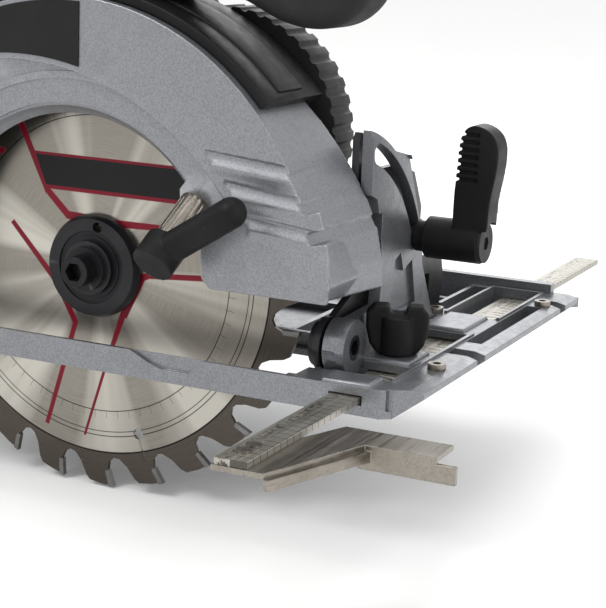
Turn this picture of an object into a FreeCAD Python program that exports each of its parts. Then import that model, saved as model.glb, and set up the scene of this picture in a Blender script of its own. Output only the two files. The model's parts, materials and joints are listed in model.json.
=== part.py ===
import FreeCAD, Part
import os, math
from FreeCAD import Vector as V

os.makedirs("parts", exist_ok=True)

# ---------------------------------------------------------------- sizes, mm
# Working frame: origin at the middle of the blade on the arbor axis,
# +X the cutting direction, +Y away from the blade's open side, +Z up.
BLADE_R = 95.0          # 190 mm blade
TEETH = 24
PLATE_T = 1.6
KERF = 2.4
BORE_R = 15.0           # 30 mm bore
SOLE_Z = -36.1          # underside of the sole at full depth of cut
SOLE_T = 3.0
SOLE_X0, SOLE_X1 = -150.0, 144.5
SOLE_Y0, SOLE_Y1 = -29.0, 174.0
Y_MID = 72.5            # the sole's middle line
PIV_Y, PIV_Z = 0.5, -18.5       # bevel axis (along X)
DEP_X, DEP_Z = 102.0, 14.0      # depth pivot (along Y)
GUARD_R = 111.0         # upper guard, outside
LG_R0, LG_R1 = 69.0, 100.0      # lower guard ring
BAR_X0, BAR_X1 = 120.5, 132.7   # guide bar
BAR_Z0, BAR_Z1 = -31.3, -28.8
BAR_Y0, BAR_Y1 = -120.0, 285.0
MOD = 1.0
GEAR_N, PIN_N = 48, 10
MX, MZ = 17.2, 23.35    # motor axis (along Y)
LX, LZ = 42.0, 57.0     # axis of the ribbed front lobe
LEV_Y, LEV_Z = 69.5, 15.2       # bevel lever axis (along X)
WING_X, WING_Y = 126.6, 20.0    # guide clamp screw (along Z)
ARC_R = 196.0           # depth arc radius about the depth pivot

OFF = V(0, -Y_MID, -SOLE_Z)     # to the part's own frame: origin on the sole's underside


# ---------------------------------------------------------------- helpers
def box(x0, x1, y0, y1, z0, z1):
    return Part.makeBox(x1 - x0, y1 - y0, z1 - z0, V(x0, y0, z0))


def cy(x, z, r, y0, y1):
    return Part.makeCylinder(r, y1 - y0, V(x, y0, z), V(0, 1, 0))


def cx(y, z, r, x0, x1):
    return Part.makeCylinder(r, x1 - x0, V(x0, y, z), V(1, 0, 0))


def cz(x, y, r, z0, z1):
    return Part.makeCylinder(r, z1 - z0, V(x, y, z0), V(0, 0, 1))


def face(pts):
    return Part.Face(Part.makePolygon(pts + [pts[0]]))


def pxz(pts, y0, y1):
    return face([V(a, y0, b) for a, b in pts]).extrude(V(0, y1 - y0, 0))


def pxy(pts, z0, z1):
    return face([V(a, b, z0) for a, b in pts]).extrude(V(0, 0, z1 - z0))


def pyz(pts, x0, x1):
    return face([V(x0, a, b) for a, b in pts]).extrude(V(x1 - x0, 0, 0))


def ring(x, z, r0, r1, y0, y1):
    return cy(x, z, r1, y0, y1).cut(cy(x, z, r0, y0 - 1, y1 + 1))


def fan(x, z, a0, a1, r, y0, y1):
    n = max(2, int(abs(a1 - a0) / 20) + 1)
    pts = [(x, z)]
    for i in range(n + 1):
        a = math.radians(a0 + (a1 - a0) * i / n)
        pts.append((x + r * math.cos(a), z + r * math.sin(a)))
    return pxz(pts, y0, y1)


def sector(x, z, r0, r1, a0, a1, y0, y1):
    return ring(x, z, r0, r1, y0, y1).common(fan(x, z, a0, a1, r1 * 1.3, y0 - 1, y1 + 1))


def sector_x(y, z, r0, r1, a0, a1, x0, x1):
    """Ring sector about an axis along X; angles from +Y towards +Z."""
    b = cx(y, z, r1, x0, x1).cut(cx(y, z, r0, x0 - 1, x1 + 1))
    n = max(2, int(abs(a1 - a0) / 20) + 1)
    pts = [(y, z)]
    for i in range(n + 1):
        a = math.radians(a0 + (a1 - a0) * i / n)
        pts.append((y + 1.3 * r1 * math.cos(a), z + 1.3 * r1 * math.sin(a)))
    return b.common(pyz(pts, x0 - 1, x1 + 1))


def fuse(*s):
    r = s[0]
    for t in s[1:]:
        r = r.fuse(t)
    return r.removeSplitter()


def hull2(x0, z0, r0, x1, z1, r1, y0, y1):
    """Prism around two circles and their outer tangents."""
    d = math.hypot(x1 - x0, z1 - z0)
    a = math.atan2(z1 - z0, x1 - x0)
    b = math.acos((r0 - r1) / d)
    p = [(x0 + r0 * math.cos(a + b), z0 + r0 * math.sin(a + b)),
         (x1 + r1 * math.cos(a + b), z1 + r1 * math.sin(a + b)),
         (x1 + r1 * math.cos(a - b), z1 + r1 * math.sin(a - b)),
         (x0 + r0 * math.cos(a - b), z0 + r0 * math.sin(a - b))]
    return fuse(pxz(p, y0, y1), cy(x0, z0, r0, y0, y1), cy(x1, z1, r1, y0, y1))


def arcpts(x, z, r, a0, a1, n):
    return [(x + r * math.cos(math.radians(a0 + (a1 - a0) * i / n)),
             z + r * math.sin(math.radians(a0 + (a1 - a0) * i / n))) for i in range(n + 1)]


def outline(pts, y0, y1):
    """Prism of a smooth closed outline through the points, XZ plane."""
    c = Part.BSplineCurve()
    c.interpolate([V(a, y0, b) for a, b in pts], PeriodicFlag=True)
    return Part.Face(Part.Wire([c.toShape()])).extrude(V(0, y1 - y0, 0))


def rounded(shape, r, test=None):
    es = [e for e in shape.Edges if test is None or test(e)]
    try:
        s = shape.makeFillet(r, es)
        if s.isValid() and s.Volume > 0:
            return s
    except Exception:
        pass
    good = shape
    return good


def screws(spec, axis, r_head, h_head, r, length):
    """Pan-head screws: list of head-face points, drive recess included."""
    out = []
    for p in spec:
        p = V(*p)
        ax = V(*axis)
        h = Part.makeCylinder(r_head, h_head, p, ax)
        s = Part.makeCylinder(r, length, p, ax * -1)
        c = Part.makeCylinder(r_head * 0.45, h_head * 0.6, p + ax * (h_head * 0.4), ax)
        out.append(h.fuse(s).cut(c))
    return Part.makeCompound(out)


SAVED = {}


def save(name, shape):
    s = shape.copy()
    s.translate(OFF)
    bad = [x for x in s.Solids if not x.isValid()]
    s.exportStep("parts/%s.step" % name)
    SAVED[name] = s
    bb = s.BoundBox
    print("%-22s solids %3d vol %9.0f  x %.0f..%.0f y %.0f..%.0f z %.0f..%.0f%s" % (
        name, len(s.Solids), s.Volume, bb.XMin, bb.XMax, bb.YMin, bb.YMax, bb.ZMin, bb.ZMax,
        "  INVALID" if bad else ""))


# ================================================================ SOLE BODY
Z0, Z1 = SOLE_Z, SOLE_Z + SOLE_T
plate = box(SOLE_X0, SOLE_X1, SOLE_Y0, SOLE_Y1, Z0, Z1)
near = box(SOLE_X0, 141, SOLE_Y0, -24.5, Z0, -25)
far = box(SOLE_X0, 143, 169, SOLE_Y1, Z0, -20.3)
rear = box(SOLE_X0, SOLE_X0 + 4, SOLE_Y0, SOLE_Y1, Z0, -27)
rib1 = box(SOLE_X0, 106, 44, 47, Z0, -27)
rib2 = box(SOLE_X0, 106, 108, 111, Z0, -29)
rib3 = box(SOLE_X0, 106, 146, 149, Z0, -28)
cross = [box(x, x + 3, 45, 172, Z0, -29.5) for x in (-100, -45, 10, 62)]
block = box(104, 142.5, SOLE_Y0, SOLE_Y1, Z0, -25)
lip = pxz([(138, Z0), (144.5, Z0), (154.5, -28.6), (154.5, -26.2), (150, -25), (138, -25)], SOLE_Y0 + 3, SOLE_Y1 + 1)
tipw = pxy([(118, 173), (150, 173), (154.5, 177), (140, 176), (128, 174)], -31, -26.2)
base = fuse(plate, near, far, rear, rib1, rib2, rib3, block, lip, tipw, *cross)
base = base.cut(box(-104, 101, -24.5, 40, Z0 - 1, 0))                # blade and guard window
base = base.cut(cx(PIV_Y, PIV_Z, 12.6, 99, 118.2))                   # pocket at the front pivot
base = base.cut(box(119.9, 133.3, SOLE_Y0 - 2, SOLE_Y1 + 5, -31.9, -28.3))   # guide bar channel
for y0, y1 in ((-14, 8), (32, 72), (104, 166)):                       # open windows over the bar
    base = base.cut(box(116, 139, y0, y1, -32.2, -20))
base = base.cut(box(106, 115, 112, 166, -31, -20)).cut(box(141, 148, 60, 140, -30.5, -20))
base = base.cut(box(106, 114, 34, 98, -26.5, -20))                   # seat of the bevel bracket
base = base.cut(box(139, 160, 38, 47, Z0 - 1, 0)).cut(box(141.5, 160, 148, 156, Z0 - 1, 0))   # notches in the front lip
base = base.cut(pxz([(31, -24), (42, -29.2), (48, -31), (60, -31), (67, -24)], SOLE_Y0 - 1, -27.4))
for x0, x1, y0, y1 in ((116.5, 136.5, -28.4, -15.2), (116.5, 136.5, 9, 31), (117.5, 135.5, 73, 103)):   # bridges over the bar
    base = base.fuse(rounded(box(x0, x1, y0, y1, -28.2, -23.4), 1.4, lambda e: e.BoundBox.ZMin > -23.5))
for x0, x1, y0, y1 in ((139, 140.6, -14, 72), (139, 140.6, 104, 167.6), (114.6, 116, 42, 72), (114.6, 116, 104, 167.6), (114.6, 140.6, 166, 167.6)):
    base = base.fuse(box(x0, x1, y0, y1, -26, -23.8))
base = base.removeSplitter()
base = base.cut(box(119.9, 133.3, SOLE_Y0 - 2, SOLE_Y1 + 5, -31.9, -28.3))
base = base.cut(cz(WING_X, WING_Y, 3.1, -29, -20))
for x in (-120, -20):                                                # two round holes for a bench plate
    for y in (78, 138):
        base = base.cut(cz(x, y, 2.75, Z0 - 1, Z1 + 1))
base = base.cut(pxy([(139, SOLE_Y0 - 1), (160, SOLE_Y0 - 1), (160, -16)], Z0 - 1, 0))

# front bevel bracket: barrel, web and slotted quadrant
q = sector_x(PIV_Y, PIV_Z, 60, 84.5, 20, 81, 108, 113)
web = pyz([(30, -26.5), (34, 2), (31, 24), (22, 44), (14.5, 60), (60, 50), (76, 20), (78, 2), (91, -20), (97, -26.5)], 108, 113)
web = web.cut(pyz([(44, -14), (47, 8), (58, 12), (66, 6), (72, -14)], 111, 114))
lugp = pyz([(-11, -18.5), (-7.5, -26.5), (40, -26.5), (40, -8), (8, -9)], 108, 113)
quad = fuse(q, web, lugp, cx(PIV_Y, PIV_Z, 11, 108, 117))
quad = quad.cut(box(100, 120, -30, 13.2, -6, 100)).cut(box(100, 120, 13, 31.5, -3, 30)).cut(box(100, 120, 13, 19.8, -6, 80))
SR = 76.8
slot = sector_x(PIV_Y, PIV_Z, SR - 4.2, SR + 4.2, 26.0, 71.5, 107, 114)
slot = fuse(slot, cx(PIV_Y + SR * math.cos(math.radians(26)), PIV_Z + SR * math.sin(math.radians(26)), 4.2, 107, 114),
            cx(PIV_Y + SR * math.cos(math.radians(71.5)), PIV_Z + SR * math.sin(math.radians(71.5)), 4.2, 107, 114))
quad = quad.cut(slot)
quad = quad.cut(sector_x(PIV_Y, PIV_Z, 82, 90, 28, 79, 111.8, 114))
quad = quad.cut(cx(PIV_Y, PIV_Z, 5.06, 100, 120))
save("bevel_quadrant", quad)
base = base.cut(box(102.6, 107.1, -13, 123, -29.6, -20)).cut(box(108, 113, -12, 97.5, -26.5, -20))
base = base.cut(pyz([(-24.4, -29.6), (-24.4, -24), (-27.4, -24), (-26.6, -26.4)], -104, 101))
base = max(base.Solids, key=lambda q: q.Volume)
save("base_plate", base)

lug = fuse(cx(PIV_Y, PIV_Z, 9, -120, -110.5), box(-120, -110.5, -8, 9, Z1, PIV_Z), box(-126, -108, -20, 24, Z1, Z1 + 3)).cut(cx(PIV_Y, PIV_Z, 5.06, -130, -100))
save("rear_pivot_bracket", lug)
hexr = lambda r: [(r * math.cos(math.radians(60 * i)), r * math.sin(math.radians(60 * i))) for i in range(6)]
pin = fuse(cx(PIV_Y, PIV_Z, 5.0, 103.5, 117), cx(PIV_Y, PIV_Z, 9.0, 101.0, 103.5)).cut(
    pyz([(PIV_Y + a, PIV_Z + b) for a, b in hexr(3.4)], 112, 118))
save("front_pivot_bolt", pin)
rpin = fuse(cx(PIV_Y, PIV_Z, 5.0, -121, -104.9), cx(PIV_Y, PIV_Z, 7.5, -124, -121))
save("rear_pivot_bolt", rpin)
rv = [fuse(cz(x, y, 2.4, Z1 - 2, Z1 + 3), Part.makeSphere(4.2, V(x, y, Z1 + 2.0)).common(box(x - 5, x + 5, y - 5, y + 5, Z1 + 3, Z1 + 9)))
      for x, y in ((-123.5, -16), (-123.5, 20))]
rv += [fuse(cz(x, y, 3.6, -25, -22.6)).cut(pxy([(x + a * 0.55, y + b * 0.55) for a, b in hexr(3.4)], -24, -22)) for x, y in ((147, 12), (110.6, 103.5), (147, 144))]
save("base_fasteners", Part.makeCompound(rv))

# ================================================================ TILT BODY
tp = fuse(cx(PIV_Y, PIV_Z, 11, 103.6, 106.6),
          pyz([(4, -28.5), (60, -24.4), (118, -24), (121.5, -12), (118, -3), (88, 3), (90, 24), (80, 40), (64, 45.5),
               (27, 46), (24.5, 30), (24.5, 2), (18, -2.5), (4, -8)], 103.6, 106.6))
ear = fuse(cy(DEP_X, DEP_Z, 8.4, 24.5, 28.5), box(96, 106.6, 24.5, 28.5, -3, 12), box(102, 106.6, 24.5, 28.5, -3, 24))
tp = fuse(tp, ear, pyz([(20, 34), (26.8, 34), (26.8, 61), (22, 62.5), (20, 60)], 103.6, 106.6))
tp = tp.cut(cx(PIV_Y, PIV_Z, 5.06, 100, 110)).cut(cx(LEV_Y, LEV_Z, 4.0, 100, 110)).cut(cy(DEP_X, DEP_Z, 4.0, 10, 40))
tp = tp.cut(cy(DEP_X, DEP_Z, 6.8, 28.5, 31))
tp = tp.cut(pyz([(40, -16), (40, -6), (62, -4), (104, -8), (104, -16)], 100, 110))
save("front_tilt_plate", tp)
save("depth_pivot_pin", fuse(cy(DEP_X, DEP_Z, 4.0, 15.2, 30), cy(DEP_X, DEP_Z, 6.5, 28.5, 30.5)))
cb = fuse(cx(LEV_Y, LEV_Z, 4.0, 103.6, 122), cx(LEV_Y, LEV_Z, 7.0, 100.8, 103.6))
save("bevel_clamp_bolt", cb)
a_top = 180 - 24.0
arc = sector(DEP_X, DEP_Z, ARC_R - 10, ARC_R + 10, a_top, 192, 20.5, 23.5)
foot = pxz([(-108.2, -24), (-84, -24), (-78, -14), (-86, 4), (-108.2, 4)], 20.5, 23.5)
rb = fuse(pyz([(-8, -26), (23.5, -26), (23.5, 4), (20.5, 4), (16, -4), (0, -8), (-8, -12)], -108.2, -105.2), cx(PIV_Y, PIV_Z, 10, -108.2, -105.2))
arc = fuse(arc, foot, rb)
s0, s1 = 180.0, 180 - 18.5
aslot = fuse(sector(DEP_X, DEP_Z, ARC_R - 3.3, ARC_R + 3.3, s1, s0, 19, 25),
             cy(DEP_X + ARC_R * math.cos(math.radians(s0)), DEP_Z + ARC_R * math.sin(math.radians(s0)), 3.3, 19, 25),
             cy(DEP_X + ARC_R * math.cos(math.radians(s1)), DEP_Z + ARC_R * math.sin(math.radians(s1)), 3.3, 19, 25))
arc = arc.cut(aslot).cut(cx(PIV_Y, PIV_Z, 5.06, -112, -100))
save("depth_arc", arc)

# bevel lever: hub, arm and ribbed thumb pad
hub = cx(LEV_Y, LEV_Z, 8.8, 118.5, 142.5).cut(cx(LEV_Y, LEV_Z, 4.05, 110, 122.4))
hub = fuse(hub, cx(LEV_Y, LEV_Z, 6.5, 113.3, 118.5).cut(cx(LEV_Y, LEV_Z, 4.05, 110, 122.4)))
armp = [(131.5, 14), (131.0, 28), (131.4, 42), (132.0, 53), (133.2, 60), (136.5, 63.6), (142, 63.4), (146.4, 60.6), (148.8, 55.5),
        (149.0, 49), (148.0, 41), (146.6, 32), (146.2, 22), (142.5, 14)]
arm = outline(armp, LEV_Y - 6.8, LEV_Y + 5.4)
arm = rounded(arm, 2.4, lambda e: e.BoundBox.YLength < 0.01)
for i in range(7):
    z = 41 + i * 3.1
    arm = arm.cut(box(129, 140.5, LEV_Y - 8, LEV_Y + 1, z, z + 1.3).cut(outline([(a2 + 1.1, b2) for a2, b2 in armp], LEV_Y - 5.8, LEV_Y + 4)))
arm = arm.cut(box(100, 160, 0, 200, -20, LEV_Z)).cut(cx(LEV_Y, LEV_Z, 8.8, 142.5, 150))
lever = fuse(hub, arm)
save("bevel_lever", lever)
cap = cx(LEV_Y, LEV_Z, 8.2, 142.5, 144).cut(pyz([(LEV_Y + a, LEV_Z + b) for a, b in hexr(3.0)], 142.9, 145))
save("bevel_lever_cap", cap)

# ================================================================ GUIDE
bar = box(BAR_X0, BAR_X1, BAR_Y0, BAR_Y1, BAR_Z0, BAR_Z1)
for i in range(61):                                       # stamped scale marks, 5 mm apart
    y = -26 + i * 5
    w = 6.0 if i % 2 == 0 else 3.4
    bar = bar.cut(box(BAR_X1 - w, BAR_X1 + 1, y - 0.25, y + 0.25, BAR_Z1 - 0.25, BAR_Z1 + 1))
fz1 = BAR_Z0
fl = pxy([(119.5, -120.5), (139, -120.5), (143, -110), (155, -73), (181, -72), (181, -57.5), (140, -57.5), (131, -82), (119.5, -100)], fz1 - 2, fz1)
fw = fuse(box(152, 181, -74, -72, fz1 - 9, fz1), pxy([(139, -120.5), (141, -120.8), (157, -74), (155, -72.6), (150, -84)], fz1 - 6, fz1 - 2))
ft = box(181, 188, -74, -72, fz1 - 9, fz1 - 2.5)
grs = [fuse(cz(x, -110, 1.6, fz1 - 2, BAR_Z1), cz(x, -110, 2.8, BAR_Z1, BAR_Z1 + 0.9)) for x in (126.6,)]
grs += [fuse(cz(126.6, -103, 1.6, fz1 - 2, BAR_Z1), cz(126.6, -103, 2.8, BAR_Z1, BAR_Z1 + 0.9))]
hold = Part.makeCompound([g for g in grs])
holes = fuse(cz(126.6, -110, 1.6, -40, 0), cz(126.6, -103, 1.6, -40, 0))
save("guide_rivets", hold)
save("guide_bar", bar.cut(holes))
save("guide_fence", fuse(fl, fw, ft).cut(holes))
wk = fuse(cz(WING_X, WING_Y, 7.5, -23.1, -8), cz(WING_X, WING_Y, 3.0, -28.2, -23.1))
w2 = pxz([(WING_X - 10.8, -19), (WING_X - 12.5, -12.5), (WING_X - 12.5, -6.5), (WING_X - 9.6, -3.4), (WING_X + 9.6, -3.4), (WING_X + 12.5, -6.5), (WING_X + 12.5, -12.5), (WING_X + 10.8, -19), (WING_X + 8, -22.8), (WING_X - 8, -22.8)], WING_Y - 4.2, WING_Y + 4.2)
w2 = w2.cut(pxz([(WING_X - 4, 0), (WING_X - 3, -6.5), (WING_X + 3, -6.5), (WING_X + 4, 0)], WING_Y - 5, WING_Y + 5))
w2 = rounded(w2, 1.5)
wk = fuse(wk, w2)
wk.rotate(V(WING_X, WING_Y, 0), V(0, 0, 1), 20)
save("guide_wing_screw", wk)

# ================================================================ HEAD: guard and gear case
# outer contour of the upper guard, blade side, XZ
NOSE = [(113.3, 23.5), (117.0, 10), (115.5, 4.5), (112, 3.0)]
up = arcpts(0, 0, GUARD_R, 16, 176, 48)
outer = up + [(-111, 3.0), (-97, 3.0)]
prof_full = up + [(-111, 3.0), (112, 3.0), (115.5, 4.5), (117.0, 10), (113.3, 23.5)]
solid = pxz(prof_full, -26, 18)
inner_r = 107.0
cav = cy(0, 0, inner_r, -23.5, 15)
solid = solid.cut(cav)
groove = cy(-21.6, -32.5, 117, -27, -22)
lobe = pxz([(61.5, 22), (62.7, 6.5), (66.3, 3.0), (116, 3.0), (116, 40), (80, 34), (70, 28)], -26, -23.5)
lobe = rounded(lobe, 2.5, lambda e: abs(e.BoundBox.YLength - 2.5) < 0.1 and e.BoundBox.XMin < 72)
solid = solid.cut(groove)
lobe = lobe.common(cy(0, 0, 118, -27, -20))
guard = fuse(solid, lobe)
guard = guard.cut(cy(0, 0, 101.6, -22.9, 10.9))
# opening of the inner wall for the gear case, and the rear/bottom mouth
guard = guard.cut(hull2(0, 0, 29.5, MX, MZ, 24.1, 14, 19)).cut(box(-130, 130, -30, 30, -40, 3.0))
# nose flare towards the far side
FL = ((42, 111.0, 110.8), (40.3, 111.0, 111.1), (36, 111.0, 112.4), (30, 111.0, 114.0), (24, 111.0, 116.0), (18, 111.2, 118.4), (13, 111.6, 120.0), (7, 112.0, 120.6), (0, 112.0, 120.6))


def flare(y, k):
    out = [V(f[k] * math.cos(math.radians(f[0])), y, f[k] * math.sin(math.radians(f[0]))) for f in FL]
    inn = [V(107.0 * math.cos(math.radians(f[0])), y, 107.0 * math.sin(math.radians(f[0]))) for f in reversed(FL)]
    return Part.makePolygon(out + inn + [out[0]])


fl2 = Part.makeLoft([flare(-26, 1), flare(18, 2)], True, True)
fl2 = fl2.cut(box(90, 130, -30, 20, -30, 3.0))
guard = fuse(guard, fl2)
# shingled ribs round the nose: a crease, then a raised lip below it
for xa, za, xb, zb in ((62.8, 56.8, 102.6, 53.3), (71.3, 46.0, 107.6, 42.0), (79.8, 34.0, 111.8, 30.6)):
    d = V(xb - xa, 0, zb - za)
    cutf = face([V(xa, -26.6, za + 0.4), V(xa, -24.9, za - 0.5), V(xa, -26.05, za - 4.0), V(xa, -26.6, za - 4.0)]).extrude(d * 1.12)
    lipf = face([V(xa + 3, -25.8, za - 3.4), V(xa + 3, -26.9, za - 6.0), V(xa + 3, -25.8, za - 10.0)]).extrude(d * 0.93)
    ac = math.degrees(math.atan2(zb, xb))

    def pol(r, a):
        return (r * math.cos(math.radians(a)), r * math.sin(math.radians(a)))

    lipf = lipf.common(cy(0, 0, 110.9, -30, -20)).cut(cy(-21.6, -32.5, 117.2, -30, -22))
    rb18 = 112.0 + (42 - ac) * 0.272

    def wedge(y, r):
        q = [pol(135, ac + 0.3), pol(r - 1.0, ac), pol(r + 0.1, ac - 2.4), pol(135, ac - 2.4)]
        return Part.makePolygon([V(p, y, z) for p, z in q + [q[0]]])

    guard = guard.cut(cutf)
    guard = guard.cut(Part.makeLoft([wedge(-26.4, 111.0), wedge(18.4, rb18)], True, True))
    guard = guard.fuse(lipf)
guard = guard.removeSplitter()
# ear of the depth pivot
earh = fuse(cy(DEP_X, DEP_Z, 9, 15, 23.7), pxz([(80, 6), (100, 5.2), (110, 14), (104, 23), (80, 40)], 15, 23.7))
guard = fuse(guard, earh).cut(cy(DEP_X, DEP_Z, 4.05, 0, 30))
# boss for the depth clamp bolt
bx, bz = DEP_X - ARC_R, DEP_Z
guard = fuse(guard, fuse(cy(bx, bz, 7, 18, 20.2), ))
guard = guard.cut(cy(bx, bz, 3.0, 10, 24))
# dust outlet hole in the rear wall
guard = guard.cut(Part.makeCylinder(15, 40, V(-118, -4, 62), V(1, 0, 0)))
save("upper_guard", guard)

label = sector(0, 0, 84.0, 109.0, 80.0, 128, -26.6, -26.05)
label = label.common(box(-90, 6.3, -30, -20, 60, 120))
label = label.cut(cy(-21.6, -32.5, 119.5, -30, -20))
save("guard_label", label)
save("guard_screws", screws([(-88, -26.0, 60), (-104, -26.0, 26)], (0, -1, 0), 3.6, 1.8, 1.8, 2.4))

# gear case: nose boss, cup around the gears, cover flange
gc = hull2(0, 0, 29.4, MX, MZ, 24, 15.05, 38.5)
gc = gc.cut(hull2(0, 0, 26.4, MX, MZ, 21, 17.6, 35.4))
gc = fuse(gc, cy(0, 0, 22.4, 6.5, 15.05), cy(0, 0, 19.0, 27.4, 36), cy(MX, MZ, 12, 29.5, 36))
gc = gc.cut(cy(0, 0, 16.03, 27.0, 36.5)).cut(cy(0, 0, 16.02, 7.0, 16)).cut(cy(0, 0, 9, 0, 37))
gc = gc.cut(cy(MX, MZ, 9.02, 29.0, 35.4)).cut(cy(MX, MZ, 5.2, 28, 46)).cut(cy(MX, MZ, 7.2, 17.6, 29.6))
gc = gc.cut(Part.makeCylinder(3.2, 60, V(-60, 32, -6), V(1, 0, 0)).common(box(-60, -18.5, 20, 50, -20, 20)))
save("gear_case", gc)

# guard return spring, wound round the nose boss
sp = [ring(0, 0, 23.6, 25.4, y, y + 1.6) for y in (10.8, 12.9)]
save("guard_spring", fuse(sp[0], sp[1], box(23.7, 25.3, 10.8, 14.5, -1, 1)))

# black cover on the guard's rim, with its soft band and the front handle
rc = sector(0, 0, 111.2, 115.5, 41, 128, -22, 27)
rc = rc.fuse(sector(0, 0, 106, 115.5, 41, 128, 18.3, 27)).removeSplitter()
rc = rc.cut(sector(0, 0, 114.3, 118, 43, 125, -8, 12))
rc = rc.cut(ring(DEP_X, DEP_Z, ARC_R - 10.8, ARC_R + 12, 19.9, 28))
save("rim_cover", rc)
save("rim_grip_band", sector(0, 0, 114.3, 116.2, 43, 125, -8, 12))
fh = outline([(-44, 98), (-58, 108), (-63, 128), (-54, 149), (-26, 160), (14, 164.5), (54, 163), (92, 154), (115, 138), (121, 119), (111, 106.5),
              (96, 103.2), (80, 107), (66, 113), (44, 112), (10, 104), (-20, 100)], -15, 18)
fh = rounded(fh, 9, lambda e: e.BoundBox.YLength < 0.01)
gap = hull2(-28.5, 126, 9.5, -5.5, 126, 9.5, -40, 40)
gap = fuse(gap, box(-38, 4, -40, 40, 90, 126))
fh = fh.cut(gap).cut(cy(0, 0, 116.4, -30, 30))
fh = max(fh.Solids, key=lambda q: q.Volume)
save("front_handle", fh)

# dust outlet
d0 = fuse(Part.makeCylinder(20, 34, V(-146, -4, 62), V(1, 0, 0)), Part.makeCylinder(14.9, 8, V(-112, -4, 62), V(1, 0, 0)))
d0 = d0.cut(Part.makeCylinder(17.5, 30.2, V(-147, -4, 62), V(1, 0, 0))).cut(Part.makeCylinder(12.8, 60, V(-147, -4, 62), V(1, 0, 0)))
d0 = d0.cut(cy(0, 0, 111.3, -30, 30).cut(Part.makeCylinder(14.95, 40, V(-118, -4, 62), V(1, 0, 0))))
save("dust_port", d0)

# ---------------------------------------------------------------- motor
B0, B1 = 27.6, 46.0
lobeB = cy(LX, LZ, 50.5, B0, B1)
flutes = []
for i in range(0, 24):
    a = math.radians(-62 + i * 8.4)
    flutes.append(cy(LX + 51.6 * math.cos(a), LZ + 51.6 * math.sin(a), 2.3, B0 - 1, B1 + 1))
lobeA = hull2(MX, MZ, 33.5, 25, 44, 35.5, 38.6, 106)
hs = fuse(lobeB.cut(Part.makeCompound(flutes)), lobeA)
hin = fuse(cy(LX, LZ, 46.5, B0 + 3, B1 - 3), hull2(MX, MZ, 30.8, 25, 44, 32.8, 42.0, 107))
hs = hs.cut(hin).cut(cy(MX, MZ, 20, 36, 44))
hs = hs.cut(hull2(0, 0, 29.6, MX, MZ, 24.2, 0, 38.55)).cut(cy(0, 0, 116.5, 0, 27.5))
for i in range(9):                                                    # air slots
    hs = hs.cut(box(52, 90, 66 + i * 4, 68 + i * 4, 40, 50))
    hs = hs.cut(box(4, 30, 66 + i * 4, 68 + i * 4, -20, -5))
save("motor_housing", hs)
ec = hull2(MX, MZ, 33.5, 25, 44, 35.5, 106.1, 116)
ec = ec.cut(hull2(MX, MZ, 30.8, 25, 44, 32.8, 105, 113))
for i in range(9):
    z = 0 + i * 6.5
    ec = ec.cut(box(2, 52, 112, 117, z, z + 2.6))
ec = fuse(ec, cy(MX, MZ, 12, 103, 113.5)).cut(cy(MX, MZ, 9.52, 103, 111))
save("motor_end_cap", rounded(ec, 3, lambda e: abs(e.BoundBox.YMin - 116) < 0.01 and e.BoundBox.YLength < 0.01 and (e.BoundBox.XLength > 40 or e.BoundBox.ZLength > 30)))
st = ring(MX, MZ, 15.2, 27, 52, 88)
for i in range(6):
    a = math.radians(60 * i)
    st = st.cut(cy(MX + 18.5 * math.cos(a), MZ + 18.5 * math.sin(a), 2.6, 50, 90))
save("stator", fuse(st, ring(MX, MZ, 27, 30, 58, 80), box(MX - 2.5, MX + 2.5, 58, 80, MZ - 30.6, MZ - 27.0)))
save("control_board", fuse(box(26, 62, 33, 35, 74, 90), box(29, 42, 35, 40, 76, 88), box(46, 58, 35, 41, 77, 87), box(38, 50, 30.7, 33, 80, 88)))
mb = [ring(MX, MZ, 3.0, 9.0, 29.6, 35.3), ring(MX, MZ, 3.0, 9.5, 104, 110)]
save("motor_bearings", Part.makeCompound(mb))
sb = [ring(0, 0, 8.0, 16.0, 27.2, 36.4), ring(0, 0, 8.0, 16.0, 7.4, 15.8)]
save("spindle_bearings", Part.makeCompound(sb))

# rotor, pinion and fan
ro = fuse(cy(MX, MZ, 14.6, 53, 87), cy(MX, MZ, 2.95, 18.2, 109.5))
save("motor_rotor", ro.cut(Part.makeCompound([cy(MX + 11 * math.cos(math.radians(90 * i)), MZ + 11 * math.sin(math.radians(90 * i)), 1.6, 52, 88) for i in range(4)])))


def gear(n, m, phase, x, z, y0, y1, bore, back=0.12):
    rp = n * m / 2.0
    ra, rf = rp + m * 0.92, rp - m * 1.2
    p = 2 * math.pi / n
    pts = []
    for i in range(n):
        c = phase + i * p
        wa, wp, wf = p * 0.125, p * (0.25) - back / rp, p * 0.36
        for da, r in ((-wf, rf), (-wp, rp), (-wa, ra), (wa, ra), (wp, rp), (wf, rf)):
            pts.append((x + r * math.cos(c + da), z + r * math.sin(c + da)))
    return pxz(pts, y0, y1).cut(cy(x, z, bore, y0 - 1, y1 + 1))


ga = math.atan2(MZ, MX)
dg = gear(GEAR_N, MOD, ga, 0, 0, 18.4, 26.4, 8.0)
for i in range(6):
    a = math.radians(60 * i + 30)
    dg = dg.cut(cy(15.4 * math.cos(a), 15.4 * math.sin(a), 3.4, 17, 29))
save("driven_gear", dg)
pn = gear(PIN_N, MOD, ga + math.pi + math.pi / PIN_N, MX, MZ, 18.2, 27.4, 2.95)
save("pinion", pn)
fnp = [ring(MX, MZ, 2.95, 8, 92, 101)]
for i in range(11):
    b = box(MX + 6.5, MX + 27, 92, 101, MZ - 0.8, MZ + 0.8)
    b.rotate(V(MX, 0, MZ), V(0, 1, 0), 360.0 / 11 * i)
    fnp.append(b)
fnp.append(ring(MX, MZ, 7, 27, 90.8, 92.2))
save("cooling_fan", fuse(*fnp))

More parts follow.
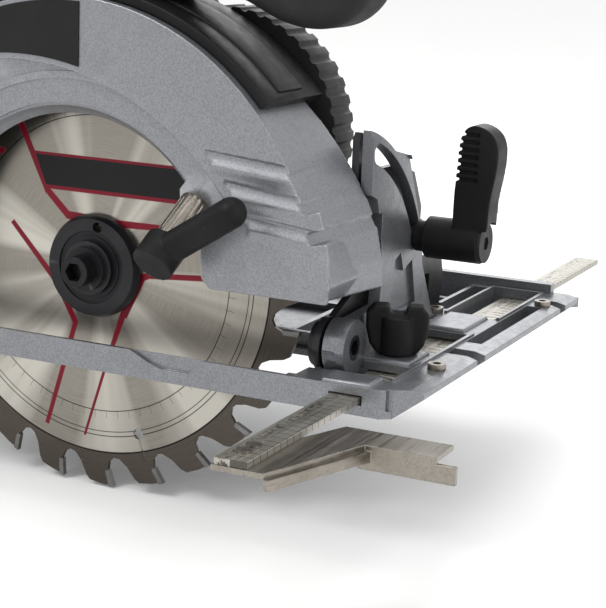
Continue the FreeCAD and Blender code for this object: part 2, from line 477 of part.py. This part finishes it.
# ---------------------------------------------------------------- handle
HO = [(26, 84), (20, 108), (-8, 126), (-54, 133), (-98, 130), (-132, 112), (-153, 80), (-163, 46), (-156, 22), (-128, 15), (-86, 16), (-44, 20), (-6, 30), (22, 50)]
HI = [(-26, 90), (-36, 102), (-62, 107), (-96, 103), (-118, 87), (-131, 64), (-133, 47), (-120, 38), (-90, 37.5), (-58, 42), (-36, 62)]
hd = outline(HO, 30, 66).cut(outline(HI, 20, 80))
hd = rounded(hd, 7, lambda e: abs(e.BoundBox.YLength) < 0.01 and (abs(e.BoundBox.YMin - 30) < 0.01 or abs(e.BoundBox.YMin - 66) < 0.01))
hcut = fuse(cy(LX, LZ, 51.2, 20, B1 + 0.4), hull2(MX, MZ, 33.7, 25, 44, 35.7, 38.2, 110), hull2(0, 0, 29.8, MX, MZ, 24.4, 0, 38.9))
hd = hd.cut(hcut)
hollow = pxz([(-50, 112), (-92, 110), (-92, 124), (-50, 126)], 36, 60)
hd = hd.cut(hollow)
hd = hd.cut(box(-84, -46, 41.6, 54.4, 96, 114))                       # trigger slot
hd = hd.cut(Part.makeCylinder(5.3, 50, V(-36, 25, 118), V(0, 1, 0)).common(box(-50, -20, 25, 75, 100, 130)))
save("handle_left", hd.common(box(-200, 60, 20, 47.95, -20, 160)))
save("handle_right", hd.common(box(-200, 60, 48.05, 80, -20, 160)))
gp = outline(HO, 35.5, 60.5).cut(box(-92, 100, 20, 80, -50, 200)).cut(box(-200, 100, 20, 80, -50, 42))
gp = outline([(x + (1.6 if x > -60 else -1.9) * (1 if x < -60 else 0), z + (1.7 if z > 60 else 0)) for x, z in HO], 36, 60).cut(box(-92, 100, 20, 80, -50, 200)).cut(box(-200, 100, 20, 80, -50, 42)).cut(hd).cut(outline(HI, 20, 80))
save("handle_grip", Part.makeCompound([max(gp.Solids, key=lambda s: s.Volume)]))
save("switch_box", box(-88, -54, 38, 58, 118.9, 123.6))
tr = pxz([(-53, 113.4), (-80, 113.4), (-80, 104), (-77, 98.5), (-67, 95), (-58, 97.5), (-53, 104)], 42, 54)
save("trigger", rounded(tr, 1.5))
save("lock_off_button", fuse(Part.makeCylinder(5.0, 42, V(-36, 27, 118), V(0, 1, 0))))
save("handle_screws", screws([(2, 30.0, 108), (-112, 30.0, 112), (-146, 30.0, 50), (-70, 30.0, 30)], (0, -1, 0), 3.4, 1.6, 1.7, 6))
# cable-free battery foot: dock under the handle, behind the motor
dk = fuse(box(-150, -50, 72, 142, 60.3, 74), box(-50, -14, 72, 106, 50, 74), box(-50, -12, 66.2, 80, 36, 60))
dk = dk.cut(hull2(MX, MZ, 33.7, 25, 44, 35.7, 43, 120)).cut(box(-151, -56, 88, 126, 59, 66)).cut(box(-151, -56, 84, 130, 62.5, 66))
dk = rounded(dk, 2.5, lambda e: e.BoundBox.ZMin > 73.9 and e.BoundBox.ZLength < 0.1)
save("battery_dock", dk)

# ---------------------------------------------------------------- controls
sl = fuse(Part.makeCylinder(3.0, 22, V(-48, 32, -6), V(1, 0, 0)).common(box(-48, -26, 20, 50, -20, 20)), Part.makeCylinder(6, 5, V(-52.5, 32, -6), V(1, 0, 0)))
sl = fuse(Part.makeCylinder(3.0, 27, V(-48, 32, -6), V(1, 0, 0)), Part.makeCylinder(6, 5, V(-52.5, 32, -6), V(1, 0, 0)))
save("spindle_lock_button", sl)
save("depth_clamp_bolt", fuse(cy(bx, bz, 2.95, 12.5, 27.5), cy(bx, bz, 6.0, 10.8, 12.6)))
dl = fuse(cy(bx, bz, 8, 24.2, 29.2), pxz([(bx - 6, bz + 4), (bx - 3, bz - 5), (bx - 44, bz - 14), (bx - 50, bz - 9), (bx - 48, bz - 4)], 24.8, 29.2))
dl = dl.cut(cy(bx, bz, 3.0, 20, 27.6))
save("depth_lever", dl)

# ================================================================ LOWER GUARD
A0, A1 = 20.0, 198.0
og = sector(0, 0, LG_R0, LG_R1 - 0.2, A0, A1, -22.4, -20.4)
bead = sector(0, 0, 78.6, 81.4, A0 + 1, A1 - 1, -23.1, -22.3)
lipc = Part.makeCone(66.0, 70.2, 6.5, V(0, -16, 0), V(0, -1, 0)).cut(Part.makeCone(64.4, 68.6, 6.5, V(0, -16, 0), V(0, -1, 0)))
lipc = lipc.common(fan(0, 0, A0, A1, 140, -30, 0)).common(cy(0, 0, 90, -21.4, -15.9))
rim = sector(0, 0, LG_R1 - 2.2, LG_R1, A0, A1, -22.4, 10)
ig = fuse(sector(0, 0, 20, LG_R1, A0, A1, 8, 10), cy(0, 0, 29, 8, 10))
ig = ig.cut(cy(0, 0, 22.45, 0, 20))
tab = pxz([(58.5, 24.5), (66, 26.5), (68, 30), (64, 42), (54, 44.5), (50.5, 40), (51, 30)], -22.4, -20.4)
lg = fuse(og, bead, lipc, rim, ig, tab)
SA, SB = V(58.0, -20.4, 36.6), V(54.0, -42.6, 18.2)
sd = (SB - SA).normalize()
SLEN = (SB - SA).Length


def along(p, d, r, h):
    return Part.makeCylinder(r, h, p, d)


lg = lg.cut(along(SA - sd * 4, sd, 3.0, 12)).cut(along(SA + sd * 2.4, sd, 6.9, 6).common(box(30, 90, -30, -22.45, 0, 60)))
save("lower_guard", lg)
stem = along(SA + sd * 2.6, sd, 6.2, SLEN - 8).fuse(along(SA - sd * 0.4, sd, 2.98, 4)).removeSplitter()
stem = stem.cut(box(20, 90, -22.5, 0, 0, 80).cut(along(SA - sd * 4, sd, 2.98, 14)))
kn = []
px_ = sd.cross(V(0, 0, 1)).normalize()
pz_ = sd.cross(px_).normalize()
for i in range(18):
    t = math.radians(20 * i)
    kn.append(along(SA + px_ * (6.5 * math.cos(t)) + pz_ * (6.5 * math.sin(t)) + sd * 5, sd, 0.55, SLEN - 13))
stem = stem.cut(Part.makeCompound(kn))
save("guard_lever_stem", max(stem.Solids, key=lambda q: q.Volume))
hubl = along(SB - sd * 5.4, sd, 8.4, 11.5)
p0 = SB + sd * 0.5
p1 = V(83.5, -42.5, 37.0)
ad = (p1 - p0).normalize()
arml = along(p0, ad, 6.0, (p1 - p0).Length).fuse(Part.makeSphere(6.0, p1)).fuse(hubl).removeSplitter()
arml = arml.cut(along(SA + sd * 2.6, sd, 6.3, SLEN - 8))
save("guard_lever", max(arml.Solids, key=lambda q: q.Volume))

# ================================================================ BLADE
pts = []
for k in range(TEETH):
    a = -99.19 + 15.0 * k
    for r, d in ((94.6, 0), (87.6, -1.5), (84.0, -0.9), (82.3, 0.8), (82.8, 2.6), (86.0, 4.8), (91.5, 6.7), (93.4, 7.9), (94.2, 11.5)):
        t = math.radians(a + d)
        pts.append((r * math.cos(t), r * math.sin(t)))
bl = pxz(pts, -PLATE_T / 2, PLATE_T / 2)
bl = bl.cut(cy(0, 0, BORE_R, -3, 3))
for k in range(4):
    a = -73.0 + 90 * k
    s = box(73, 84.5, -2, 2, -0.55, 0.55).fuse(cy(72.5, 0, 2.3, -2, 2))
    s.rotate(V(0, 0, 0), V(0, -1, 0), a)
    bl = bl.cut(s)
tips = []
for k in range(TEETH):
    a = -99.19 + 15.0 * k
    t = pxz([(95.0, -0.05), (94.85, -2.2), (88.2, -3.4), (87.6, -1.75)], -KERF / 2, KERF / 2)
    t.rotate(V(0, 0, 0), V(0, -1, 0), a)
    tips.append(t)
tc = Part.makeCompound(tips)
save("saw_blade", max(bl.cut(tc).Solids, key=lambda q: q.Volume))
save("carbide_tips", tc)
save("inner_flange", fuse(cy(0, 0, 20, 0.8, 4.2), cy(0, 0, 14.95, -0.6, 0.9), cy(0, 0, 12, 4.2, 6.2)).cut(cy(0, 0, 6.0, -5, 10)))
of_ = fuse(Part.makeCone(21.6, 20.2, 2.6, V(0, -3.2, 0), V(0, -1, 0)), cy(0, 0, 21.6, -3.2, -0.8), cy(0, 0, 11.2, -8.4, -5.8))
of_ = of_.cut(ring(0, 0, 13.2, 15.2, -6.5, -5.1)).cut(cy(3.0, 16.8, 2.2, -8, 0)).cut(cy(0, 0, 15.2, -0.9, -0.6)).cut(cy(0, 0, 6.0, -12, 4))
save("outer_flange", of_)
ab = fuse(cy(0, 0, 9.0, -11.2, -8.4), cy(0, 0, 6.3, -18.4, -11.2), cy(0, 0, 4.0, -8.4, 6)).cut(pxz(hexr(4.1), -19, -13.2))
save("arbor_bolt", rounded(ab, 0.5, lambda e: abs(e.BoundBox.YMin + 18.4) < 0.01 and e.BoundBox.XLength > 12))
spd = fuse(cy(0, 0, 6.0, -5.6, 6.4), cy(0, 0, 8.0, 6.4, 36.4)).cut(cy(0, 0, 4.0, -8, 6.0))
save("spindle", spd)

# ================================================================ BATTERY
bp = fuse(box(-164, -58, 70.5, 143.5, 2, 60), box(-160, -60, 90, 124, 60, 63))
bp = fuse(bp, box(-160, -60, 85, 129, 62.9, 65.4))
bp = rounded(bp, 5, lambda e: e.BoundBox.ZMax < 59.0 or (e.BoundBox.ZLength > 50))
bp = bp.cut(box(-160, -62, 74, 140, 6, 56)).cut(box(-167, -160.5, 96, 118, 40, 54))
save("battery_shell", bp)
cells = [cz(-146 + i * 21, 84 + j * 23, 9.2, 7, 55) for i in range(4) for j in range(3)]
save("battery_cells", Part.makeCompound(cells[:10]))
save("battery_latch", fuse(box(-166.5, -161, 96.5, 117.5, 43, 53.5)))
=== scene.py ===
import bpy, bmesh, math, json, random
from mathutils import Vector, Matrix

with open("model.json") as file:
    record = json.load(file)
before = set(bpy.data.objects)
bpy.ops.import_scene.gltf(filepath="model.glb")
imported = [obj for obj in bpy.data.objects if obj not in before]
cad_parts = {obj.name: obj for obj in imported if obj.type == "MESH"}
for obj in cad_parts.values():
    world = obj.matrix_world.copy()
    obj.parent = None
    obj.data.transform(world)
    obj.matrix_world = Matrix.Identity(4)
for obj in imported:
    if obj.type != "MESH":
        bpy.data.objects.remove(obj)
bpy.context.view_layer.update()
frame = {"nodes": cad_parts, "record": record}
N = frame["nodes"]
random.seed(7)

# the arbor's place in the row frame, metres
AX, AY, AZ = 0.0, -0.0725, 0.0361


def A(x, y, z):
    """A point given from the arbor on the blade's middle plane, in mm, in the row frame."""
    return Vector((x / 1000.0 + AX, y / 1000.0 + AY, z / 1000.0 + AZ))


# ------------------------------------------------------------ node helpers
class M:
    def __init__(self, name):
        self.m = bpy.data.materials.new(name)
        self.m.use_nodes = True
        self.t = self.m.node_tree
        self.t.nodes.clear()
        self.out = self.n("ShaderNodeOutputMaterial")
        self.b = self.n("ShaderNodeBsdfPrincipled")
        self.t.links.new(self.b.outputs[0], self.out.inputs[0])
        self.co = self.n("ShaderNodeTexCoord").outputs["Object"]

    def n(self, kind, **kw):
        x = self.t.nodes.new(kind)
        for k, v in kw.items():
            setattr(x, k, v)
        return x

    def l(self, a, b):
        self.t.links.new(a, b)

    def val(self, sock, v):
        if hasattr(v, "links") or isinstance(v, bpy.types.NodeSocket):
            self.l(v, sock)
        else:
            sock.default_value = v

    def math(self, op, a, b=None, c=None, clamp=False):
        x = self.n("ShaderNodeMath", operation=op, use_clamp=clamp)
        self.val(x.inputs[0], a)
        if b is not None:
            self.val(x.inputs[1], b)
        if c is not None:
            self.val(x.inputs[2], c)
        return x.outputs[0]

    def mapr(self, v, a, b, c, d):
        x = self.n("ShaderNodeMapRange")
        self.val(x.inputs["Value"], v)
        x.inputs["From Min"].default_value = a
        x.inputs["From Max"].default_value = b
        x.inputs["To Min"].default_value = c
        x.inputs["To Max"].default_value = d
        return x.outputs[0]

    def noise(self, scale, detail=4.0, rough=0.5, stretch=None, dist=0.0):
        co = self.co
        if stretch:
            mp = self.n("ShaderNodeMapping")
            mp.inputs["Scale"].default_value = stretch
            self.l(co, mp.inputs["Vector"])
            co = mp.outputs[0]
        x = self.n("ShaderNodeTexNoise")
        self.l(co, x.inputs["Vector"])
        x.inputs["Scale"].default_value = scale
        x.inputs["Detail"].default_value = detail
        x.inputs["Roughness"].default_value = rough
        x.inputs["Distortion"].default_value = dist
        return x.outputs[0]

    def mixc(self, f, a, b):
        x = self.n("ShaderNodeMix", data_type="RGBA")
        self.val(x.inputs[0], f)
        for s, v in ((x.inputs[6], a), (x.inputs[7], b)):
            if isinstance(v, (tuple, list)):
                s.default_value = (v[0], v[1], v[2], 1)
            else:
                self.l(v, s)
        return x.outputs[2]

    def bump(self, h, strength, dist, prev=None):
        x = self.n("ShaderNodeBump")
        x.inputs["Strength"].default_value = strength
        x.inputs["Distance"].default_value = dist
        self.l(h, x.inputs["Height"])
        if prev:
            self.l(prev, x.inputs["Normal"])
        return x.outputs[0]

    def edge(self, lo=0.52, hi=0.62):
        g = self.n("ShaderNodeNewGeometry")
        return self.mapr(g.outputs["Pointiness"], lo, hi, 0.0, 1.0)


def moulded(name, dark, light, rough=0.5, grain=2200, gs=0.25, metallic=0.0, wear=None, spec=0.5, dirt=0.5):
    m = M(name)
    f = m.mapr(m.noise(38, 5), 0.3, 0.7, 0, 1)
    c = m.mixc(f, dark, light)
    if wear:
        c = m.mixc(m.math("MULTIPLY", m.edge(), 0.6), c, wear)
    m.l(c, m.b.inputs["Base Color"])
    m.b.inputs["Metallic"].default_value = metallic
    m.b.inputs["Specular IOR Level"].default_value = spec
    r = m.mapr(m.noise(160, 4), 0.25, 0.75, rough - 0.07, rough + 0.09)
    m.l(r, m.b.inputs["Roughness"])
    h = m.noise(grain, 2, 0.6)
    m.l(m.bump(h, gs, 0.00025), m.b.inputs["Normal"])
    return m.m


# painted die-cast alloy: silver-grey with a fine speckle; the edges argument scales a painted highlight on convex edges
# and painted shade in creases
def cast(name, base, speck, rough, metallic=0.35, edges=1.0, pits=0.10):
    m = M(name)
    big = m.mapr(m.noise(14, 4), 0.3, 0.7, 0, 1)
    c = m.mixc(big, [b * 0.93 for b in base], [min(1, b * 1.05) for b in base])
    fine = m.mapr(m.noise(1500, 3, 0.7), 0.36, 0.62, 0, 1)
    c = m.mixc(m.math("MULTIPLY", fine, 0.32), c, speck)
    # painted highlight: convex edges lightened towards pale silver
    c = m.mixc(m.math("MULTIPLY", m.edge(0.525, 0.64), 0.45 * edges), c, (0.70, 0.71, 0.73))
    # painted shade: creases and hollows darkened to a fraction of the base colour
    c = m.mixc(m.math("MULTIPLY", m.edge(0.48, 0.40), 0.75 * edges), c, [b * 0.28 for b in base])
    grime = m.mapr(m.noise(55, 6, 0.65), 0.52, 0.74, 0, 1)
    c = m.mixc(m.math("MULTIPLY", grime, 0.22), c, [b * 0.62 for b in base])
    m.l(c, m.b.inputs["Base Color"])
    m.b.inputs["Metallic"].default_value = metallic
    m.l(m.mapr(m.noise(260, 3), 0.3, 0.7, rough - 0.06, rough + 0.08), m.b.inputs["Roughness"])
    b1 = m.bump(m.noise(1300, 3, 0.6), 0.22, 0.0002)
    b2 = m.bump(m.noise(120, 3, 0.5), pits, 0.0006, b1)
    m.l(b2, m.b.inputs["Normal"])
    return m.m


# zinc-plated or bare strip steel with long scratches
def strip(name, base, rough=0.3, stretch=(40, 1, 40), metallic=1.0, scratch=900):
    m = M(name)
    f = m.noise(scratch, 4, 0.6, stretch=[s / 40.0 for s in stretch])
    c = m.mixc(m.mapr(f, 0.3, 0.7, 0, 1), [b * 0.72 for b in base], base)
    blot = m.mapr(m.noise(70, 5, 0.6), 0.42, 0.66, 0, 1)
    c = m.mixc(m.math("MULTIPLY", blot, 0.45), c, (base[0] * 0.45, base[1] * 0.43, base[2] * 0.38))
    m.l(c, m.b.inputs["Base Color"])
    m.b.inputs["Metallic"].default_value = metallic
    m.l(m.mapr(f, 0.2, 0.8, rough - 0.1, rough + 0.15), m.b.inputs["Roughness"])
    m.l(m.bump(f, 0.18, 0.0002), m.b.inputs["Normal"])
    return m.m


MAT = {}
MAT["cast_grey"] = cast("silver_paint", (0.175, 0.180, 0.193), (0.42, 0.43, 0.45), 0.36, 0.65)
MAT["cast_bright"] = cast("bare_casting", (0.155, 0.16, 0.172), (0.40, 0.41, 0.43), 0.34, 0.75, 0.15, 0.05)
def scale_bar():
    m = M("scale_bar")
    sx = m.n("ShaderNodeSeparateXYZ")
    m.l(m.co, sx.inputs[0])
    y = m.math("MULTIPLY", sx.outputs[1], 1000.0)
    x = m.math("MULTIPLY", sx.outputs[0], 1000.0)
    f = m.noise(900, 4, 0.6, stretch=(1, 0.03, 1))
    c = m.mixc(m.mapr(f, 0.3, 0.7, 0, 1), (0.26, 0.245, 0.21), (0.46, 0.44, 0.39))
    g = m.math("ABSOLUTE", m.math("SUBTRACT", m.math("FRACT", m.math("MULTIPLY", y, 0.2)), 0.5))
    tick = m.math("MULTIPLY", m.mapr(g, 0.035, 0.055, 1, 0), m.mapr(x, 126.4, 126.6, 0, 1), clamp=True)
    blk = m.mapr(m.noise(420, 3, 0.7), 0.53, 0.56, 0, 1)
    rows = m.math("MULTIPLY", blk, m.math("MULTIPLY", m.mapr(x, 125.6, 125.8, 1, 0), m.mapr(x, 122.0, 122.2, 0, 1), clamp=True), clamp=True)
    c = m.mixc(m.math("MULTIPLY", m.math("MAXIMUM", tick, rows), 0.8), c, (0.02, 0.019, 0.016))
    m.l(c, m.b.inputs["Base Color"])
    m.b.inputs["Metallic"].default_value = 0.85
    m.l(m.mapr(f, 0.2, 0.8, 0.24, 0.5), m.b.inputs["Roughness"])
    m.l(m.bump(f, 0.12, 0.0001), m.b.inputs["Normal"])
    return m.m


MAT["scale_bar"] = scale_bar()
MAT["zinc_steel"] = strip("zinc_steel", (0.30, 0.275, 0.24), 0.30)
MAT["carbide"] = strip("carbide", (0.22, 0.215, 0.21), 0.38)
MAT["black_steel"] = moulded("black_oxide", (0.005, 0.005, 0.006), (0.014, 0.014, 0.016), 0.34, 900, 0.12, 0.35, (0.10, 0.10, 0.105), 0.25)
MAT["black_plastic"] = moulded("black_nylon", (0.0035, 0.0035, 0.004), (0.009, 0.009, 0.010), 0.46, 2600, 0.3, 0, (0.02, 0.02, 0.021), 0.16)
MAT["grey_plastic"] = moulded("charcoal_plastic", (0.010, 0.0095, 0.010), (0.020, 0.019, 0.0205), 0.5, 2400, 0.3, 0, (0.04, 0.04, 0.042), 0.18)
MAT["soft_grip"] = moulded("soft_rubber", (0.006, 0.006, 0.0065), (0.013, 0.013, 0.014), 0.68, 1500, 0.55, 0, None, 0.3)
MAT["red_plastic"] = moulded("red_plastic", (0.36, 0.008, 0.012), (0.46, 0.012, 0.016), 0.36, 2400, 0.15)
MAT["label"] = moulded("blank_label", (0.003, 0.003, 0.0035), (0.006, 0.006, 0.0065), 0.3, 3000, 0.04, 0, None, 0.25)
MAT["copper"] = strip("copper_winding", (0.62, 0.30, 0.16), 0.35, (1, 40, 1))
MAT["circuit"] = moulded("circuit_board", (0.015, 0.10, 0.04), (0.02, 0.16, 0.07), 0.4, 1200, 0.2)
MAT["cell_wrap"] = moulded("cell_wrap", (0.05, 0.16, 0.25), (0.07, 0.21, 0.31), 0.3, 1800, 0.08)


# ------------------------------------------------------------ blade steel with its print and a painted conic highlight
def blade_mat():
    m = M("blade_steel")
    sx = m.n("ShaderNodeSeparateXYZ")
    m.l(m.co, sx.inputs[0])
    x = sx.outputs[0]
    z = m.math("SUBTRACT", sx.outputs[2], AZ)
    r = m.math("SQRT", m.math("ADD", m.math("MULTIPLY", x, x), m.math("MULTIPLY", z, z)))
    a = m.math("ARCTAN2", z, x)
    rn = m.math("MULTIPLY", r, 1000.0)

    def band(v, lo, hi, soft):
        up = m.mapr(v, lo - soft, lo + soft, 0, 1)
        dn = m.mapr(v, hi - soft, hi + soft, 1, 0)
        return m.math("MULTIPLY", up, dn, clamp=True)

    cmb = m.n("ShaderNodeCombineXYZ")
    m.l(m.math("MULTIPLY", rn, 0.9), cmb.inputs[0])
    m.l(m.math("MULTIPLY", a, 1.2), cmb.inputs[1])
    gr = m.n("ShaderNodeTexNoise")
    m.l(cmb.outputs[0], gr.inputs["Vector"])
    gr.inputs["Scale"].default_value = 3.2
    gr.inputs["Detail"].default_value = 6
    gr.inputs["Roughness"].default_value = 0.7
    # painted highlight: a noise that changes mostly with angle round the arbor makes bright sectors standing in for the
    # blade's conic reflections
    conic_sheen_coords = m.n("ShaderNodeCombineXYZ")
    m.l(m.math("MULTIPLY", rn, 0.0012), conic_sheen_coords.inputs[0])
    m.l(m.math("SINE", a), conic_sheen_coords.inputs[1])
    m.l(m.math("COSINE", a), conic_sheen_coords.inputs[2])
    conic_sheen = m.n("ShaderNodeTexNoise")
    m.l(conic_sheen_coords.outputs[0], conic_sheen.inputs["Vector"])
    conic_sheen.inputs["Scale"].default_value = 2.1
    conic_sheen.inputs["Detail"].default_value = 3
    steel = m.mixc(m.mapr(gr.outputs[0], 0.25, 0.75, 0, 1), (0.17, 0.156, 0.135), (0.29, 0.27, 0.235))
    # lay the painted conic highlight onto the steel colour
    steel = m.mixc(m.mapr(conic_sheen.outputs[0], 0.46, 0.62, 0, 1), steel, (0.46, 0.44, 0.395))
    dark = m.mixc(m.mapr(gr.outputs[0], 0.25, 0.75, 0, 1), (0.050, 0.043, 0.036), (0.105, 0.092, 0.079))
    c = m.mixc(m.mapr(rn, 79.6, 80.4, 0, 1), steel, dark)
    ink = (0.004, 0.004, 0.0045)
    red = (0.15, 0.002, 0.012)
    for lo, hi in ((79.85, 80.5), (72.85, 73.25), (70.9, 71.25), (61.9, 62.3)):
        c = m.mixc(m.math("MULTIPLY", band(rn, lo, hi, 0.12), 0.92), c, ink)
    # generic print: a plain dark panel and swept red lines, no lettering
    X = m.math("MULTIPLY", x, 1000.0)
    Z = m.math("MULTIPLY", z, 1000.0)

    def seg(x0, z0, x1, z1, w0, w1):
        L = math.hypot(x1 - x0, z1 - z0)
        ux, uz = (x1 - x0) / L, (z1 - z0) / L
        t = m.math("ADD", m.math("MULTIPLY", m.math("SUBTRACT", X, x0), ux), m.math("MULTIPLY", m.math("SUBTRACT", Z, z0), uz))
        d = m.math("ABSOLUTE", m.math("SUBTRACT", m.math("MULTIPLY", m.math("SUBTRACT", X, x0), uz), m.math("MULTIPLY", m.math("SUBTRACT", Z, z0), ux)))
        wd = m.mapr(t, 0, L, w0, w1)
        inside = m.mapr(m.math("SUBTRACT", d, wd), -0.15, 0.15, 1, 0)
        return m.math("MULTIPLY", inside, band(t, 0, L, 0.15), clamp=True)

    red_m = None
    for q in ((-62, 27.5, -12, -80, 0.1, 0.2), (-41, 62, -24, 28, 1.3, 1.5), (-24, 28.5, -14, 19.2, 1.5, 1.6), (-15, 19.6, 8, 18.0, 1.7, 2.2), (8, 18.4, 60, 19.8, 1.6, 0.7),
              (-42, 14, -20, -9, 1.1, 1.4), (-20, -8, -10, -26, 1.6, 1.4), (-10, -25, -24, -72, 1.2, 1.0), (20.8, -3.0, 25, -1.2, 1.6, 1.3), (25, -1.4, 72, 2.6, 1.2, 1.2),
              (22, -1, 13, -20, 2.0, 1.8), (13, -19, 5, -42, 1.5, 0.8), (5, -42, -5, -74, 0.7, 0.6), (-46, 44, -70, 34, 1.2, 1.2)):
        if q[4] < 0.2:
            continue
        g = seg(*q)
        red_m = g if red_m is None else m.math("MAXIMUM", red_m, g)
    red_m = m.math("MULTIPLY", red_m, band(rn, 20, 79.7, 0.2), clamp=True)
    c = m.mixc(red_m, c, red)
    left = m.mapr(m.math("ADD", X, m.math("MULTIPLY", Z, 0.42)), -12.4, -12.0, 0, 1)
    pan = m.math("MULTIPLY", m.math("MULTIPLY", band(Z, 29.6, 44.8, 0.15), left), m.mapr(rn, 69.8, 70.2, 1, 0), clamp=True)
    c = m.mixc(pan, c, red)
    pan2 = m.math("MULTIPLY", pan, band(Z, 31.2, 43.6, 0.12), clamp=True)
    c = m.mixc(pan2, c, ink)
    edg = m.math("MAXIMUM", pan, red_m)
    # plain graduations in the outer field
    tick = m.math("ABSOLUTE", m.math("SINE", m.math("MULTIPLY", a, 36.0)))
    tk = m.math("MULTIPLY", m.mapr(tick, 0.03, 0.06, 1, 0), band(rn, 62.2, 65.4, 0.1), clamp=True)
    c = m.mixc(m.math("MULTIPLY", tk, 0.85), c, ink)
    m.l(c, m.b.inputs["Base Color"])
    paint = m.math("MAXIMUM", pan, edg)
    m.l(m.mapr(paint, 0, 1, 0.93, 0.0), m.b.inputs["Metallic"])
    m.l(m.math("ADD", m.mapr(gr.outputs[0], 0.2, 0.8, 0.24, 0.42), m.math("MULTIPLY", paint, 0.05)), m.b.inputs["Roughness"])
    m.b.inputs["Specular IOR Level"].default_value = 0.2
    m.b.inputs["Anisotropic"].default_value = 0.75
    tn = m.n("ShaderNodeTangent", direction_type="RADIAL", axis="Y")
    m.l(tn.outputs[0], m.b.inputs["Tangent"])
    m.l(m.bump(gr.outputs[0], 0.10, 0.0001), m.b.inputs["Normal"])
    return m.m


MAT["blade_steel"] = blade_mat()

slot_of = {s["node"]: s["material_slot"] for s in frame["record"]["subparts"]}
bodies = {n: b for b, ns in frame["record"]["behaviour"]["bodies"].items() for n in ns}
SLOT_OVERRIDE = {"guide_bar": "scale_bar"}
for name, ob in N.items():
    mt = MAT[SLOT_OVERRIDE.get(name, slot_of[name])]
    if not ob.material_slots:
        ob.data.materials.append(mt)
    for s in ob.material_slots:
        s.material = mt


# ------------------------------------------------------------ edges of the CAD pieces
def bevel(name, w=0.5, seg=2, ang=32):
    ob = N[name]
    wd = ob.modifiers.new("weld", "WELD")
    wd.merge_threshold = 0.00003
    bv = ob.modifiers.new("edges", "BEVEL")
    bv.width = w / 1000.0
    bv.segments = seg
    bv.limit_method = "ANGLE"
    bv.angle_limit = math.radians(ang)
    bv.use_clamp_overlap = True
    bv.harden_normals = False


def soften(name, voxel=0.6, it=6, fac=0.5):
    ob = N[name]
    rm = ob.modifiers.new("cast", "REMESH")
    rm.mode = "VOXEL"
    rm.voxel_size = voxel / 1000.0
    rm.use_smooth_shade = True
    sm = ob.modifiers.new("soft", "SMOOTH")
    sm.factor = fac
    sm.iterations = it


BEV = {"base_plate": 0.5, "bevel_quadrant": 0.5, "front_tilt_plate": 0.4, "rear_pivot_bracket": 0.6,
       "guide_bar": 0.15, "guide_fence": 0.3, "gear_case": 0.5, "rim_cover": 0.7, "rim_grip_band": 0.6,
       "dust_port": 0.6, "motor_housing": 0.3, "motor_end_cap": 0.4, "battery_dock": 0.4, "battery_shell": 0.3,
       "depth_arc": 0.3, "depth_lever": 0.7, "trigger": 0.3, "lock_off_button": 0.8, "spindle_lock_button": 0.6,
       "battery_latch": 0.4, "outer_flange": 0.3, "arbor_bolt": 0.25, "guard_lever_stem": 0.25, "front_pivot_bolt": 0.4,
       "base_fasteners": 0.2, "bevel_lever_cap": 0.25}
for k, w in BEV.items():
    bevel(k, w)
for k, v, it in (("upper_guard", 0.55, 3), ("front_handle", 0.9, 8), ("handle_left", 0.9, 6), ("handle_right", 0.9, 6), ("handle_grip", 0.6, 5),
                 ("bevel_lever", 0.4, 2), ("guard_lever", 0.45, 4), ("guide_wing_screw", 0.35, 3)):
    soften(k, v, it)


# ------------------------------------------------------------ stage, light and camera
def plane(name, size, loc, rot=(0, 0, 0)):
    me = bpy.data.meshes.new(name)
    h = size / 2
    me.from_pydata([(-h, -h, 0), (h, -h, 0), (h, h, 0), (-h, h, 0)], [], [(0, 1, 2, 3)])
    ob = bpy.data.objects.new(name, me)
    bpy.context.scene.collection.objects.link(ob)
    ob.location = loc
    ob.rotation_euler = rot
    return ob


floor = plane("floor", 60, (0, 0, AZ - 0.0955))
fm = bpy.data.materials.new("floor")
fm.use_nodes = True
fb = fm.node_tree.nodes["Principled BSDF"]
fb.inputs["Base Color"].default_value = (0.93, 0.93, 0.925, 1)
fb.inputs["Roughness"].default_value = 0.75
fb.inputs["Specular IOR Level"].default_value = 0.1
floor.data.materials.append(fm)

w = bpy.data.worlds.new("studio")
bpy.context.scene.world = w
w.use_nodes = True
w.node_tree.nodes["Background"].inputs[0].default_value = (1, 1, 1, 1)
w.node_tree.nodes["Background"].inputs[1].default_value = 1.0


def area(name, loc, target, size, power, size_y=None, col=(1, 1, 1)):
    d = bpy.data.lights.new(name, "AREA")
    d.energy = power
    d.size = size
    d.color = col
    if size_y:
        d.shape = "RECTANGLE"
        d.size_y = size_y
    ob = bpy.data.objects.new(name, d)
    bpy.context.scene.collection.objects.link(ob)
    ob.location = loc
    ob.rotation_euler = (Vector(target) - Vector(loc)).to_track_quat("-Z", "Y").to_euler()
    return ob


area("key", (-0.75, -1.3, 1.6), (0, 0, 0.05), 0.6, 15)
area("top", (0.15, 0.1, 1.7), (0, 0, 0.05), 1.0, 7)
area("front_strip", (1.6, -0.5, 0.8), (0.05, 0, 0.05), 0.4, 6, 1.2)
area("rim", (-0.4, 1.5, 0.9), (0, 0, 0.05), 0.9, 6)

az, el, ro = math.radians(25.12), math.radians(12.92), math.radians(2.31)
back = Vector((math.sin(az) * math.cos(el), -math.cos(az) * math.cos(el), math.sin(el)))
right = Vector((math.cos(az), math.sin(az), 0))
upv = back.cross(right)
cxv = right * math.cos(ro) + upv * math.sin(ro)
cyv = upv * math.cos(ro) - right * math.sin(ro)
cam = bpy.data.cameras.new("cam")
cam.sensor_width = 36
cam.lens = 1725.6 / 608 * 36
cam.clip_start = 0.01
cam.dof.use_dof = False
co = bpy.data.objects.new("cam", cam)
bpy.context.scene.collection.objects.link(co)
pos = A(94.3, 0, -3.9) + back * 0.6758
rot = Matrix((cxv, cyv, back)).transposed()
co.matrix_world = Matrix.Translation(pos) @ rot.to_4x4()
bpy.context.scene.camera = co
bpy.context.scene.view_settings.view_transform = "Standard"
